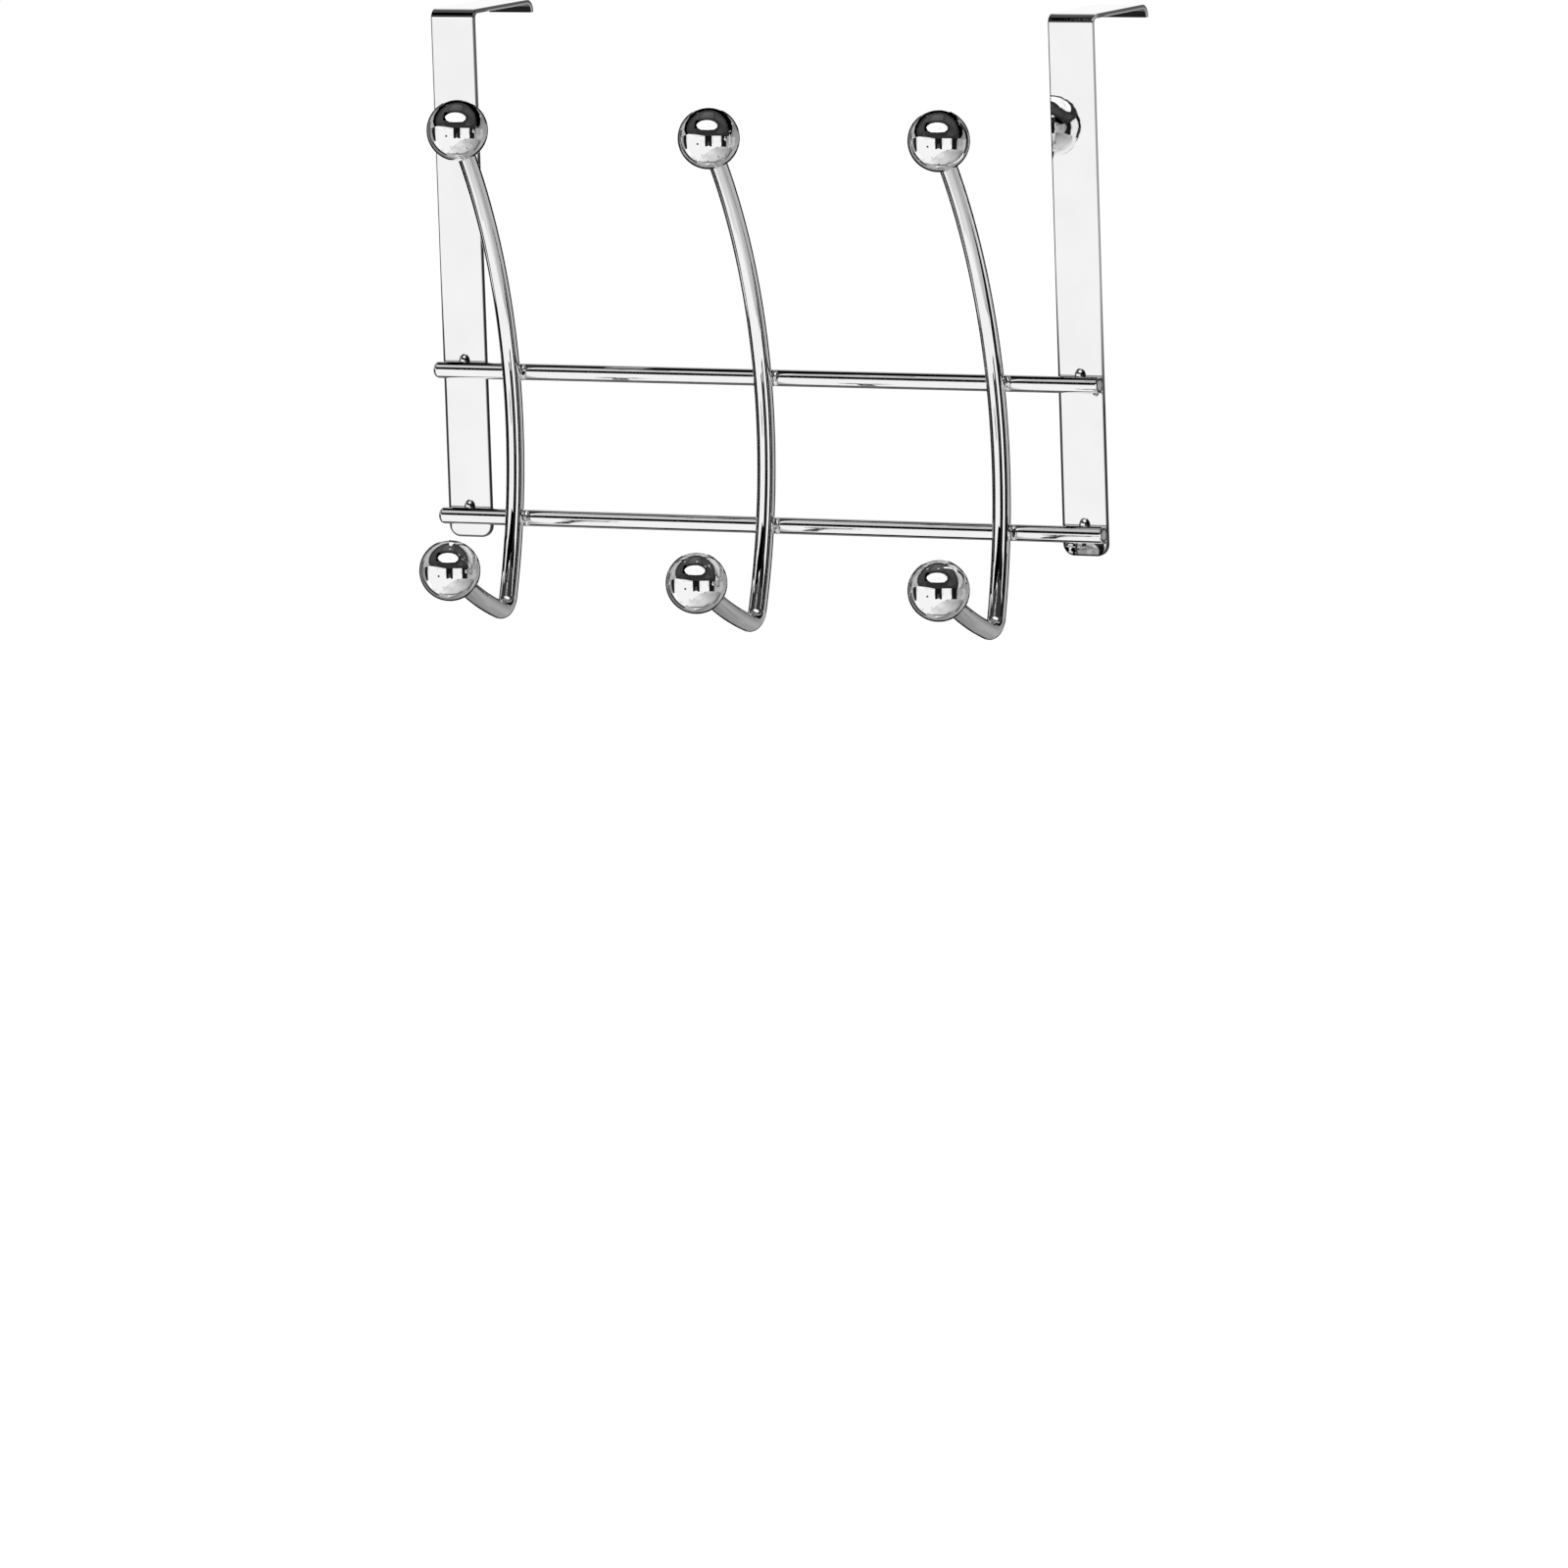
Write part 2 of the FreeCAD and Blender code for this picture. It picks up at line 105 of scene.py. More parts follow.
# Name, distance, glow, outline, and the kinds of part that see it glow where not all of them do: to
# the others it is black, as a flag stood close to them is. The glow is one strength, or two points
# with the strength at each.
CARDS = [
    ("ceiling", 9.4, 0.035,
     [(-0.64, 0.135), (-0.69, 0.25), (-0.68, 0.40), (-0.60, 0.57), (-0.47, 0.71), (-0.30, 0.83),
      (-0.10, 0.885), (0.10, 0.885), (0.26, 0.83), (0.41, 0.72), (0.53, 0.58), (0.60, 0.40),
      (0.63, 0.22), (0.61, 0.06), (0.40, 0.06), (0.10, 0.055), (-0.12, 0.05), (-0.38, 0.10)]),
    ("ceiling_left", 9.0, ((-0.45, 0.45, 0.06), (-0.1, 0.75, 0.11)),
     [(-0.60, 0.20), (-0.64, 0.34), (-0.56, 0.52), (-0.44, 0.66), (-0.31, 0.76), (-0.15, 0.82),
      (0.0, 0.83), (0.15, 0.82), (0.14, 0.63), (-0.02, 0.63), (-0.25, 0.62), (-0.42, 0.56),
      (-0.47, 0.45), (-0.44, 0.28)]),
    ("ceiling_right", 9.0, 0.06,
     [(0.18, 0.81), (0.32, 0.74), (0.44, 0.63), (0.53, 0.48), (0.56, 0.34), (0.55, 0.20),
      (0.42, 0.13), (0.25, 0.15), (0.35, 0.36), (0.36, 0.46), (0.26, 0.56), (0.16, 0.62)]),
    ("ceiling_high", 8.9, 0.09,
     [(-0.35, 0.74), (-0.25, 0.68), (-0.12, 0.80), (-0.20, 0.83)], ALL_BUT_RAILS),
    ("ceiling_low_left", 7.7, 1.0,
     [(-0.62, 0.13), (-0.38, 0.098), (-0.12, 0.048), (-0.12, -0.02), (-0.34, -0.02), (-0.46, 0.03),
      (-0.58, 0.07)], BALLS_AND_STRAPS),
    ("ceiling_low_right", 7.7, 1.0,
     [(0.10, 0.053), (0.28, 0.057), (0.25, 0.02), (0.10, 0.0)], BALLS_AND_STRAPS),
    ("softbox", 8.0, 1.3,
     [(-0.385, 0.41), (-0.345, 0.47), (-0.24, 0.53), (-0.10, 0.555), (0.05, 0.55), (0.18, 0.51),
      (0.27, 0.43), (0.27, 0.34), (0.18, 0.26), (-0.04, 0.245), (-0.25, 0.255), (-0.34, 0.31)]),
    ("rail_light", 8.2, 0.6, [(-0.465, 0.30), (-0.35, 0.30), (-0.30, 0.57), (-0.40, 0.57)], RAILS),
    ("rail_flag", 7.6, 0.05,
     [(-0.50, 0.12), (-0.40, 0.11), (-0.385, 0.29), (-0.475, 0.29)], ALL_BUT_RAILS),
    ("rail_flag_high", 7.6, 0.08,
     [(-0.41, 0.585), (-0.29, 0.585), (-0.19, 0.80), (-0.29, 0.80)], ALL_BUT_RAILS),
    ("ceiling_edge_left", 8.6, 0.5,
     [(-0.64, 0.135), (-0.69, 0.25), (-0.68, 0.40), (-0.60, 0.57), (-0.47, 0.71), (-0.30, 0.83),
      (-0.10, 0.885), (0.0, 0.885), (0.0, 0.97), (-0.12, 0.965), (-0.38, 0.88), (-0.58, 0.72),
      (-0.72, 0.52), (-0.78, 0.30), (-0.73, 0.12)], LOWER_BALLS_RAILS_STRAPS),
    ("ceiling_edge_right", 8.6, 0.6,
     [(0.0, 0.97), (0.0, 0.885), (0.10, 0.885), (0.26, 0.83), (0.41, 0.72), (0.53, 0.58),
      (0.60, 0.40), (0.63, 0.22), (0.61, 0.06), (0.70, 0.10), (0.75, 0.24), (0.74, 0.42),
      (0.68, 0.60), (0.54, 0.78), (0.34, 0.90), (0.12, 0.965)], LOWER_BALLS_RAILS_STRAPS),
    ("stand", 8.0, 0.010, [(-0.125, 0.06), (0.10, 0.06), (0.10, -0.12), (-0.12, -0.12)]),
    ("stand_left", 8.0, 0.010, [(-0.12, -0.11), (-0.035, -0.11), (-0.045, -0.28), (-0.115, -0.28)]),
    ("stand_right", 8.0, 0.010, [(0.02, -0.11), (0.10, -0.11), (0.105, -0.285), (0.035, -0.285)]),
    ("stand_middle", 8.4, 0.07, [(-0.07, -0.10), (0.06, -0.10), (0.05, -0.26), (-0.06, -0.26)]),
    ("stand_side_left", 7.7, 1.0,
     [(-0.17, 0.03), (-0.12, 0.03), (-0.115, -0.28), (-0.16, -0.28)], BALLS_AND_STRAPS),
    ("stand_side_right", 7.7, 1.0,
     [(0.10, 0.03), (0.15, 0.03), (0.145, -0.28), (0.105, -0.28)], BALLS_AND_STRAPS),
    ("stand_far", 8.0, 0.010,
     [(0.40, 0.07), (0.61, 0.07), (0.58, -0.02), (0.57, -0.28), (0.41, -0.28)]),
    ("stand_far_left", 7.7, 1.0,
     [(0.34, 0.05), (0.405, 0.05), (0.41, -0.26), (0.37, -0.26)], BALLS_AND_STRAPS),
    ("stand_far_right", 7.7, 0.4,
     [(0.59, 0.05), (0.66, 0.05), (0.66, -0.20), (0.60, -0.28), (0.57, -0.28), (0.575, -0.02)],
     BALLS_AND_STRAPS),
    ("wall_right_near", 8.9, 0.46,
     [(0.665, 0.05), (0.85, 0.05), (0.84, -0.18), (0.78, -0.28), (0.60, -0.29), (0.66, -0.20)]),
    ("spot_left", 8.0, 0.02, dot(-0.36, -0.20, 0.035)),
    ("spot_right", 8.0, 0.2, dot(0.27, -0.31, 0.022)),
    ("spot_low", 8.0, 0.3, dot(-0.22, -0.55, 0.02)),
    ("wall_right", 9.0, ((0.80, -0.35, 0.38), (0.0, -0.97, 0.22)),
     [(0.97, -0.10), (0.95, -0.22), (0.87, -0.44), (0.75, -0.63), (0.57, -0.79), (0.31, -0.925),
      (0.0, -0.976), (-0.25, -0.94), (-0.05, -0.87), (0.28, -0.78), (0.52, -0.60), (0.66, -0.42),
      (0.68, -0.28), (0.58, -0.28), (0.58, -0.10)]),
    ("wall_right_high", 9.0, ((0.93, 0.40, 0.20), (0.85, -0.10, 0.38)),
     [(0.58, -0.10), (0.64, 0.10), (0.68, 0.22), (0.70, 0.34), (0.73, 0.45), (0.80, 0.55),
      (0.86, 0.46), (0.93, 0.28), (0.976, 0.0), (0.97, -0.10)]),
    ("wall_upper_right", 9.0, 0.30, arc_band(0.885, 0.955, 32, 75)),
    ("wall_upper_left", 9.0, 0.45, arc_band(0.86, 0.975, 112, 160)),
    ("wall_left_high", 9.5, 0.42, arc_band(0.70, 0.90, 118, 171)),
    ("table_far", 9.5, ((0.1, -0.35, 0.85), (0.5, -0.62, 0.45)),
     [(-0.30, -0.66), (0.10, -0.36), (0.35, -0.28), (0.62, -0.18), (0.78, -0.10), (0.75, -0.40),
      (0.58, -0.62), (0.34, -0.79), (-0.05, -0.90), (-0.30, -0.82)]),
    ("table_edge", 8.9, 0.38,
     [(0.765, -0.33), (0.79, -0.335), (0.66, -0.56), (0.56, -0.67), (0.545, -0.655), (0.64, -0.54)],
     ALL_BUT_BALLS),
    ("table_mark", 9.0, 0.15,
     [(-0.20, -0.75), (0.04, -0.77), (0.22, -0.755), (0.40, -0.67), (0.42, -0.70), (0.24, -0.79),
      (0.04, -0.81), (-0.20, -0.78)]),
    ("flag_left", 8.5, 0.010,
     [(-0.71, 0.115), (-0.80, 0.115), (-0.815, -0.05), (-0.80, -0.20), (-0.765, -0.33),
      (-0.695, -0.33), (-0.70, -0.20), (-0.715, -0.05)]),
    ("flag_left_inside", 7.7, 0.95,
     [(-0.665, 0.06), (-0.71, 0.06), (-0.715, -0.05), (-0.70, -0.33), (-0.69, -0.44), (-0.60, -0.60),
      (-0.50, -0.68), (-0.44, -0.62), (-0.54, -0.52), (-0.61, -0.42), (-0.65, -0.30)],
     BALLS_AND_STRAPS),
    ("flag_left_side", 7.7, 0.30, arc_band(0.81, 0.885, 172, 203), BALLS_AND_STRAPS),
    ("flag_rim", 8.5, 0.010, arc_band(0.885, 0.915, 160, 203)),
    ("flag_rim_side", 7.7, 0.25, arc_band(0.915, 0.955, 160, 203), BALLS_AND_STRAPS),
    ("flag_low", 8.5, 0.010, arc_band(0.85, 0.895, 203, 244)),
    ("flag_low_side", 7.7, 0.22, arc_band(0.895, 0.955, 203, 240), BALLS_AND_STRAPS),
    ("flag_low_rails", 7.7, 0.45, arc_band(0.79, 0.90, 244, 264), ALL_BUT_RAILS),
    ("wall_left", 9.5, 0.25, arc_band(0.86, 0.975, 160, 262)),
    ("flag_upper_left", 8.2, 0.02, arc_band(0.925, 0.945, 112, 162)),
    ("rim_right", 7.6, 0.30, arc_band(0.95, 0.964, -92, -20), ALL_BUT_BALLS),
    ("rim_upper_right", 7.6, 0.30, arc_band(0.95, 0.964, 20, 75), ALL_BUT_BALLS),
    ("rim_top", 7.6, 0.70, arc_band(0.95, 0.968, 75, 118), ALL_BUT_BALLS),
    ("rim_left", 7.6, 0.25, arc_band(0.955, 0.967, 118, 268), STRAPS_AND_RAILS),
    ("edge_side", 7.6, 0.33,
     [(0.970, -0.100), (0.975, 0.0), (0.960, 0.169), (0.916, 0.333), (0.893, 0.325), (0.916, 0.129),
      (0.91, 0.0), (0.905, -0.095)], ALL_BUT_HOOKS),
    ("edge_right", 8.2, 0.36, arc_band(0.962, 0.999, -92, 70, 28), STRAPS),
    ("edge_left", 8.2, 0.36, arc_band(0.965, 0.999, 118, 272, 28), STRAPS),
]
# How often a card's edges are halved, so that it bends as the mirror ball's picture does
CARD_HALVINGS = 4
# The cards glow unevenly: the scale and detail of their clouds, the least share of the glow, and the
# share that the clouds add
CLOUD_SCALE = 1.6
CLOUD_DETAIL = 5.0
CLOUD_LEAST = 0.3
CLOUD_GAIN = 1.4


def mirrored(across, up):
    # Where a mirror ball shows the point (across, up) of its disc, as a direction in the room
    normal = RIGHT * across + UP * up + BACK * math.sqrt(max(0.0, 1 - across ** 2 - up ** 2))
    return normal * (2 * normal.dot(BACK)) - BACK


def glow_material():
    material = bpy.data.materials.new("card_glow")
    material.use_nodes = True
    nodes, links = material.node_tree.nodes, material.node_tree.links
    nodes.clear()
    level = nodes.new("ShaderNodeAttribute")
    level.attribute_name = "glow"
    cloud = nodes.new("ShaderNodeTexNoise")
    cloud.inputs["Scale"].default_value = CLOUD_SCALE
    cloud.inputs["Detail"].default_value = CLOUD_DETAIL
    patchy = nodes.new("ShaderNodeMath")
    patchy.operation = "MULTIPLY_ADD"
    links.new(cloud.outputs["Fac"], patchy.inputs[0])
    patchy.inputs[1].default_value = CLOUD_GAIN
    patchy.inputs[2].default_value = CLOUD_LEAST
    both = nodes.new("ShaderNodeMath")
    both.operation = "MULTIPLY"
    links.new(level.outputs["Fac"], both.inputs[0])
    links.new(patchy.outputs[0], both.inputs[1])
    glow = nodes.new("ShaderNodeEmission")
    links.new(both.outputs[0], glow.inputs["Strength"])
    output = nodes.new("ShaderNodeOutputMaterial")
    links.new(glow.outputs[0], output.inputs["Surface"])
    return material


def glow_at(glow, across, up):
    if isinstance(glow, float):
        return glow
    (start_x, start_y, start), (end_x, end_y, end) = glow
    run_x, run_y = end_x - start_x, end_y - start_y
    share = ((across - start_x) * run_x + (up - start_y) * run_y) / (run_x ** 2 + run_y ** 2)
    return start + (end - start) * min(1.0, max(0.0, share))


def receivers(kinds):
    # The parts of these kinds as a collection for light linking, outside the scene's own
    name = "seen_by_" + "_".join(kinds)
    group = bpy.data.collections.get(name)
    if group is None:
        group = bpy.data.collections.new(name)
        for part_name, part in parts.items():
            if any(kind in part_name for kind in kinds):
                group.objects.link(part)
    return group


def add_card(material, name, distance, glow, outline, kinds=None):
    mesh = bmesh.new()
    mesh.faces.new([mesh.verts.new((across, up, 0)) for across, up in outline])
    mesh.normal_update()
    bmesh.ops.triangulate(mesh, faces=mesh.faces[:])
    for _ in range(CARD_HALVINGS):
        bmesh.ops.subdivide_edges(mesh, edges=mesh.edges[:], cuts=1, use_grid_fill=True)
    levels = [glow_at(glow, vert.co.x, vert.co.y) for vert in mesh.verts]
    for vert in mesh.verts:
        vert.co = STUDIO_CENTRE + mirrored(vert.co.x, vert.co.y) * distance
    data = bpy.data.meshes.new(name)
    mesh.to_mesh(data)
    mesh.free()
    card = bpy.data.objects.new(name, data)
    bpy.context.scene.collection.objects.link(card)
    data.attributes.new("glow", "FLOAT", "POINT").data.foreach_set("value", levels)
    data.materials.append(material)
    for ray in ("camera", "diffuse", "shadow", "transmission", "volume_scatter"):
        setattr(card, "visible_" + ray, False)
    if kinds:
        card.light_linking.receiver_collection = receivers(kinds)


def add_world():
    world = bpy.data.worlds.new("world")
    bpy.context.scene.world = world
    world.use_nodes = True
    nodes, links = world.node_tree.nodes, world.node_tree.links
    nodes.clear()
    background = nodes.new("ShaderNodeBackground")
    background.inputs["Color"].default_value = (1, 1, 1, 1)
    background.inputs["Strength"].default_value = 1.0
    output = nodes.new("ShaderNodeOutputWorld")
    links.new(background.outputs[0], output.inputs["Surface"])


# Floor: pale paper, lifted a little for the camera alone. The metal mirrors the white world below it.
FLOOR_HALF = 14.0
FLOOR_HEIGHT = -0.64
FLOOR_COLOUR = (0.8, 0.8, 0.8, 1)
FLOOR_LIFT = 0.2


def add_floor():
    corners = [(x, y, FLOOR_HEIGHT) for x, y in ((-FLOOR_HALF, -FLOOR_HALF), (FLOOR_HALF, -FLOOR_HALF),
                                                 (FLOOR_HALF, FLOOR_HALF), (-FLOOR_HALF, FLOOR_HALF))]
    data = bpy.data.meshes.new("floor")
    data.from_pydata(corners, [], [(0, 1, 2, 3)])
    floor = bpy.data.objects.new("floor", data)
    bpy.context.scene.collection.objects.link(floor)
    material = bpy.data.materials.new("floor")
    material.use_nodes = True
    nodes, links = material.node_tree.nodes, material.node_tree.links
    nodes.clear()
    paper = nodes.new("ShaderNodeBsdfDiffuse")
    paper.inputs["Color"].default_value = FLOOR_COLOUR
    glow = nodes.new("ShaderNodeEmission")
    both = nodes.new("ShaderNodeAddShader")
    path = nodes.new("ShaderNodeLightPath")
    lift = nodes.new("ShaderNodeMath")
    lift.operation = "MULTIPLY"
    lift.inputs[1].default_value = FLOOR_LIFT
    links.new(path.outputs["Is Camera Ray"], lift.inputs[0])
    links.new(lift.outputs[0], glow.inputs["Strength"])
    links.new(paper.outputs[0], both.inputs[0])
    links.new(glow.outputs[0], both.inputs[1])
    output = nodes.new("ShaderNodeOutputMaterial")
    links.new(both.outputs[0], output.inputs["Surface"])
    data.materials.append(material)
    floor.visible_glossy = False


# Lamps, which the metal doesn't mirror: name, place and size in metres, and power in watts
LAMPS = [
    ("key_lamp", (-0.7, -0.9, 2.2), 1.6, 14.0),
    ("fill_lamp", (1.4, -1.2, 1.6), 1.6, 7.0),
]


def add_lamp(name, place, size, power):
    data = bpy.data.lights.new(name, "AREA")
    data.size = size
    data.energy = power
    lamp = bpy.data.objects.new(name, data)
    bpy.context.scene.collection.objects.link(lamp)
    lamp.location = place
    lamp.rotation_mode = "QUATERNION"
    lamp.rotation_quaternion = (STUDIO_CENTRE - Vector(place)).to_track_quat("-Z", "Y")
    lamp.visible_glossy = False


class Sums:
    # A material's nodes, with short calls for what it works out from a point's place and facing

    # The sockets of a Mix node that take and give its colours
    MIX_FIRST = 6
    MIX_SECOND = 7
    MIX_RESULT = 2

    def __init__(self, material):
        self.nodes = material.node_tree.nodes
        self.links = material.node_tree.links

    def work(self, operation, first, second=0.0):
        node = self.nodes.new("ShaderNodeMath")
        node.operation = operation
        for socket, value in zip(node.inputs, (first, second)):
            if isinstance(value, (int, float)):
                socket.default_value = value
            else:
                self.links.new(value, socket)
        return node.outputs[0]

    def plus(self, first, second):
        return self.work("ADD", first, second)

    def less(self, first, second):
        return self.work("SUBTRACT", first, second)

    def times(self, first, second):
        return self.work("MULTIPLY", first, second)

    def most(self, first, second):
        return self.work("MAXIMUM", first, second)

    def size(self, value):
        return self.work("ABSOLUTE", value)

    def span(self, value, start, end):
        # 0 at start, 1 at end, and clamped outside
        span = self.nodes.new("ShaderNodeMapRange")
        span.inputs["From Min"].default_value = start
        span.inputs["From Max"].default_value = end
        self.links.new(value, span.inputs["Value"])
        return span.outputs["Result"]

    def reach(self, first, second):
        # How far the point (first, second) is from (0, 0)
        pair = self.nodes.new("ShaderNodeCombineXYZ")
        self.links.new(first, pair.inputs["X"])
        self.links.new(second, pair.inputs["Y"])
        length = self.nodes.new("ShaderNodeVectorMath")
        length.operation = "LENGTH"
        self.links.new(pair.outputs[0], length.inputs[0])
        return length.outputs["Value"]

    def split(self, vector):
        split = self.nodes.new("ShaderNodeSeparateXYZ")
        self.links.new(vector, split.inputs[0])
        return split.outputs["X"], split.outputs["Y"], split.outputs["Z"]

    def mix(self, share, first, second):
        # The first colour where the share is 0, and the second where it is 1
        mix = self.nodes.new("ShaderNodeMix")
        mix.data_type = "RGBA"
        self.links.new(share, mix.inputs["Factor"])
        for place, colour in ((self.MIX_FIRST, first), (self.MIX_SECOND, second)):
            if isinstance(colour, tuple):
                mix.inputs[place].default_value = colour
            else:
                self.links.new(colour, mix.inputs[place])
        return mix.outputs[self.MIX_RESULT]


# Chrome plate varies in patches: where their noise turns from dark to bright, how much the tint
# differs, and the roughness as shares of the plate's own. A fine ripple runs over it, at a multiple
# of the patches' scale.
PATCH_DETAIL = 4.0
PATCH_DARK = 0.35
PATCH_BRIGHT = 0.65
DARKER = 0.03
DARKER_BLUE = 0.025
BRIGHTER_BLUE = 0.004
SMOOTHEST = 0.6
ROUGHEST = 1.5
RIPPLE_SCALE = 3
RIPPLE_DETAIL = 2.0
# The straps are bowed a little: they lean back, but for their lower ends. The lean is in radians, and
# it fades in between two heights.
STRIP_LEAN = 0.034
LEAN_FADE = (-0.168, -0.163)


def chrome(name, tint, rough, grain, drawn=(1.0, 1.0, 1.0), ripple_height=0.00002, lean=0.0):
    # The grain is in patches a metre, and drawn stretches the ripple along an axis where it is low.
    material = bpy.data.materials.new(name)
    material.use_nodes = True
    sums = Sums(material)
    nodes, links = sums.nodes, sums.links
    shader = nodes["Principled BSDF"]
    shader.inputs["Metallic"].default_value = 1.0
    place = nodes.new("ShaderNodeTexCoord")
    cloud = nodes.new("ShaderNodeTexNoise")
    cloud.inputs["Scale"].default_value = grain
    cloud.inputs["Detail"].default_value = PATCH_DETAIL
    links.new(place.outputs["Object"], cloud.inputs["Vector"])
    colour = nodes.new("ShaderNodeValToRGB")
    dark, bright = colour.color_ramp.elements[0], colour.color_ramp.elements[1]
    dark.position = PATCH_DARK
    dark.color = (tint - DARKER, tint - DARKER, tint - DARKER_BLUE, 1)
    bright.position = PATCH_BRIGHT
    bright.color = (tint, tint, tint + BRIGHTER_BLUE, 1)
    links.new(cloud.outputs["Fac"], colour.inputs["Fac"])
    links.new(colour.outputs["Color"], shader.inputs["Base Color"])
    spread = nodes.new("ShaderNodeMapRange")
    spread.inputs["To Min"].default_value = rough * SMOOTHEST
    spread.inputs["To Max"].default_value = rough * ROUGHEST
    links.new(cloud.outputs["Fac"], spread.inputs["Value"])
    links.new(spread.outputs["Result"], shader.inputs["Roughness"])
    along = nodes.new("ShaderNodeMapping")
    along.inputs["Scale"].default_value = drawn
    links.new(place.outputs["Object"], along.inputs["Vector"])
    ripple = nodes.new("ShaderNodeTexNoise")
    ripple.inputs["Scale"].default_value = grain * RIPPLE_SCALE
    ripple.inputs["Detail"].default_value = RIPPLE_DETAIL
    links.new(along.outputs["Vector"], ripple.inputs["Vector"])
    bump = nodes.new("ShaderNodeBump")
    bump.inputs["Strength"].default_value = 1.0
    bump.inputs["Distance"].default_value = ripple_height
    links.new(ripple.outputs["Fac"], bump.inputs["Height"])
    if lean:
        height = sums.split(place.outputs["Object"])[2]
        bow = nodes.new("ShaderNodeCombineXYZ")
        links.new(sums.times(sums.span(height, *LEAN_FADE), lean), bow.inputs["Z"])
        shape = nodes.new("ShaderNodeNewGeometry")
        tilt = nodes.new("ShaderNodeVectorMath")
        tilt.operation = "ADD"
        links.new(bow.outputs[0], tilt.inputs[1])
        links.new(shape.outputs["Normal"], tilt.inputs[0])
        unit = nodes.new("ShaderNodeVectorMath")
        unit.operation = "NORMALIZE"
        links.new(tilt.outputs[0], unit.inputs[0])
        links.new(unit.outputs[0], bump.inputs["Normal"])
    links.new(bump.outputs["Normal"], shader.inputs["Normal"])
    return material


# The straps as the CAD has them, in metres
STRIP_CENTRE = 0.1128
STRIP_HALF = 0.008
STRIP_END = -0.1731
STRIP_CORNER = 0.004
TAB_BEND_Y = 0.036
TAB_BEND_Z = -0.0024
TAB_BEND_INSIDE = 0.0024
LIP_FACE = 0.0384

# Where each painted shade of a strap, and each place where it is left off, fades in, from none to all of
# it.
# Outlines are in metres in from the edge, facings are parts of the normal, and the rest are places or
# depths in metres.
SIDE_FACING = (0.3, 0.6)
UNSHADED_TAB_DEPTH = (0.0007, 0.0005)
UNSHADED_TAB_Y = (0.006, 0.009)
# Painted dark reflection along the strip's edges: how far in it reaches, round the lower end and on the
# left edges
OUTLINE = (0.00055, 0.00035)
END_OUTLINE = (0.0008, 0.0005)
END_ABOVE = (0.006, 0.004)
LEFT_OUTLINE = (0.00045, 0.00030)
LEFT_HAND = (0.0, -0.001)
LEFT_WIDENS_Z = (-0.08, -0.125)
LEFT_WIDENING = 0.00055
# Where the painted shade is left off, so that the chrome's highlights show
KEPT_Y = (0.004, 0.001)
KEPT_Z = (-0.125, -0.085)
KEPT_BESIDE = (0.002, 0.004)
KEPT_TOP_Z = (-0.05, -0.02)
KEPT_TOP_SHARE = 0.25
# Painted shade inside the lip
LIP_DEPTH = (0.0012, 0.0006)
LIP_FACING = (0.2, -0.2)
# How bright each painted shade leaves the plating
PAINTED_OUTLINE_SHADE = 0.28
PAINTED_LEFT_EDGE_SHADE = 0.04
PAINTED_END_EDGE_SHADE = 0.10
PAINTED_SIDE_SHADE = 0.04
PAINTED_LIP_SHADE = 0.015
BLUE_SHARE = 1.01


